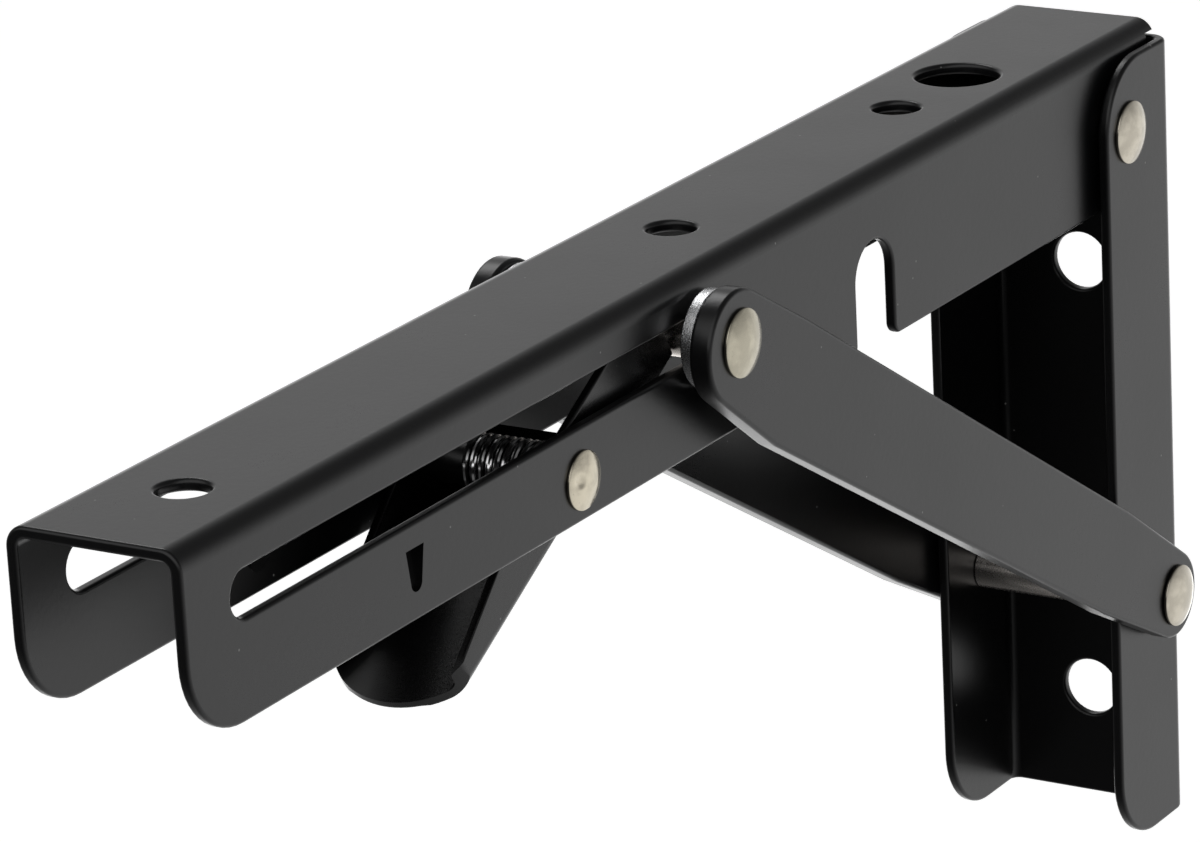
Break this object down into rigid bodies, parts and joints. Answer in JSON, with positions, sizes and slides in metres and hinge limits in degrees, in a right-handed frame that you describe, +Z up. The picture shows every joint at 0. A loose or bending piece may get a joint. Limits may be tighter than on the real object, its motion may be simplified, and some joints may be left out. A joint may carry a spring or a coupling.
{
  "type": "folding drop leaf table bracket",
  "caption": "Folding wall bracket for a drop leaf: a slotted rail on a hinged wall channel, braced by arms and held open by a sprung release lever.",
  "frame": {"origin": "on the wall face, midway between the two wall screw holes", "axes": "+X out from the wall along the open rail, +Y across the bracket, +Z up"},
  "size_m": [0.3005, 0.0494, 0.1486],
  "materials": {
    "black_coat": "satin black powder coat",
    "black_coat_lever": "satin black powder coat",
    "nickel_rivet": "nickel plated, slightly worn",
    "zinc_plate": "bright zinc plate with cut marks",
    "spring_wire": "bright drawn wire"
  },
  "bodies": {
    "wall": {"wall_channel": "black_coat", "hinge_pin": "nickel_rivet", "hinge_sleeve": "zinc_plate", "hinge_washer_left": "black_coat", "hinge_washer_right": "black_coat", "brace_pin": "nickel_rivet", "brace_sleeve": "zinc_plate"},
    "rail": {"top_rail": "black_coat", "lever_pin": "nickel_rivet"},
    "arms": {"brace_arm_left": "black_coat", "brace_arm_right": "black_coat", "arm_rivet_left": "nickel_rivet", "arm_rivet_right": "nickel_rivet"},
    "guide": {"guide_pin_left": "zinc_plate", "guide_pin_right": "zinc_plate", "guide_ring_left": "zinc_plate", "guide_ring_right": "zinc_plate"},
    "lever": {"release_lever": "black_coat_lever", "lever_spring": "spring_wire"}
  },
  "joints": [
    {"name": "rail_fold", "type": "hinge", "parent": "wall", "child": "rail", "pos_m": [0.017, 0, 0.071], "axis": [0, 1, 0], "range_deg": [0, 90]},
    {"name": "arm_fold", "type": "hinge", "parent": "wall", "child": "arms", "pos_m": [0.0115, 0, -0.01635], "axis": [0, 1, 0], "range_deg": [0, 118.39]},
    {"name": "guide_slide", "type": "slide", "parent": "rail", "child": "guide", "axis": [1, 0, 0], "range_m": [0, 0.11887]},
    {"name": "lever_press", "type": "hinge", "parent": "rail", "child": "lever", "pos_m": [0.19645, 0, 0.064], "axis": [0, -1, 0], "range_deg": [0, 28], "stiffness_Nm_per_rad": 0.05, "springref_deg": -57.3, "deforming": ["lever_spring"]}
  ],
  "couplings": [
    {"joint": "arm_fold", "follows": "rail_fold", "ratio": 1.3152},
    {"joint": "guide_slide", "follows": "rail_fold", "m_per_rad": 0.075661}
  ]
}
